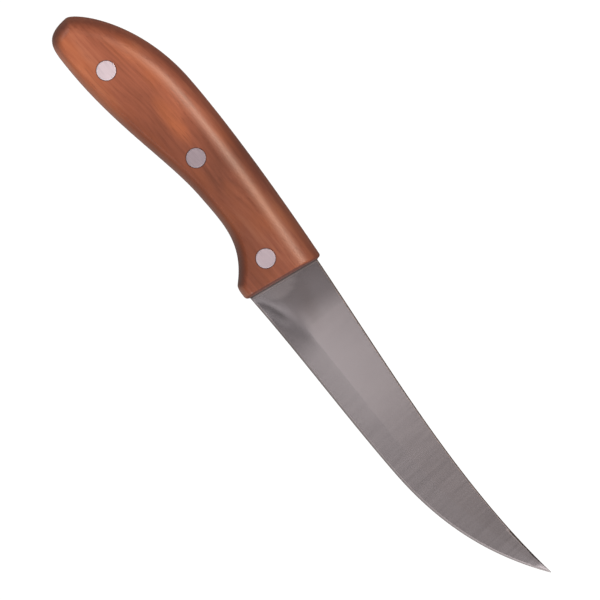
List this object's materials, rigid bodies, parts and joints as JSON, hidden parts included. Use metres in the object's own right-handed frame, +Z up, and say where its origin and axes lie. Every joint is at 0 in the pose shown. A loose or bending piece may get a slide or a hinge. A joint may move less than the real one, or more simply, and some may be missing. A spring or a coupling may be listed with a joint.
{
  "type": "boning knife",
  "caption": "Boning knife with a curved, pointed blade on a full tang, held between two shaped wooden scales by compression rivets.",
  "frame": {"origin": "centre of the bounding box in X and Y, at its bottom in Z, with the knife lying on its left side", "axes": "+X along the knife from the butt of the handle to the tip, +Y from the cutting edge to the spine, +Z up out of the right flank"},
  "size_m": [0.279, 0.0392, 0.019],
  "materials": {
    "steel": "satin, ground across the blade",
    "wood": "reddish-brown hardwood, semi-gloss lacquer",
    "rivet_metal": "fine brushed, flush with the wood"
  },
  "bodies": {
    "root": {"blade": "steel", "right_scale": "wood", "left_scale": "wood", "front_rivet_tube": "rivet_metal", "front_rivet_pin": "rivet_metal", "middle_rivet_tube": "rivet_metal", "middle_rivet_pin": "rivet_metal", "rear_rivet_tube": "rivet_metal", "rear_rivet_pin": "rivet_metal"}
  },
  "joints": []
}
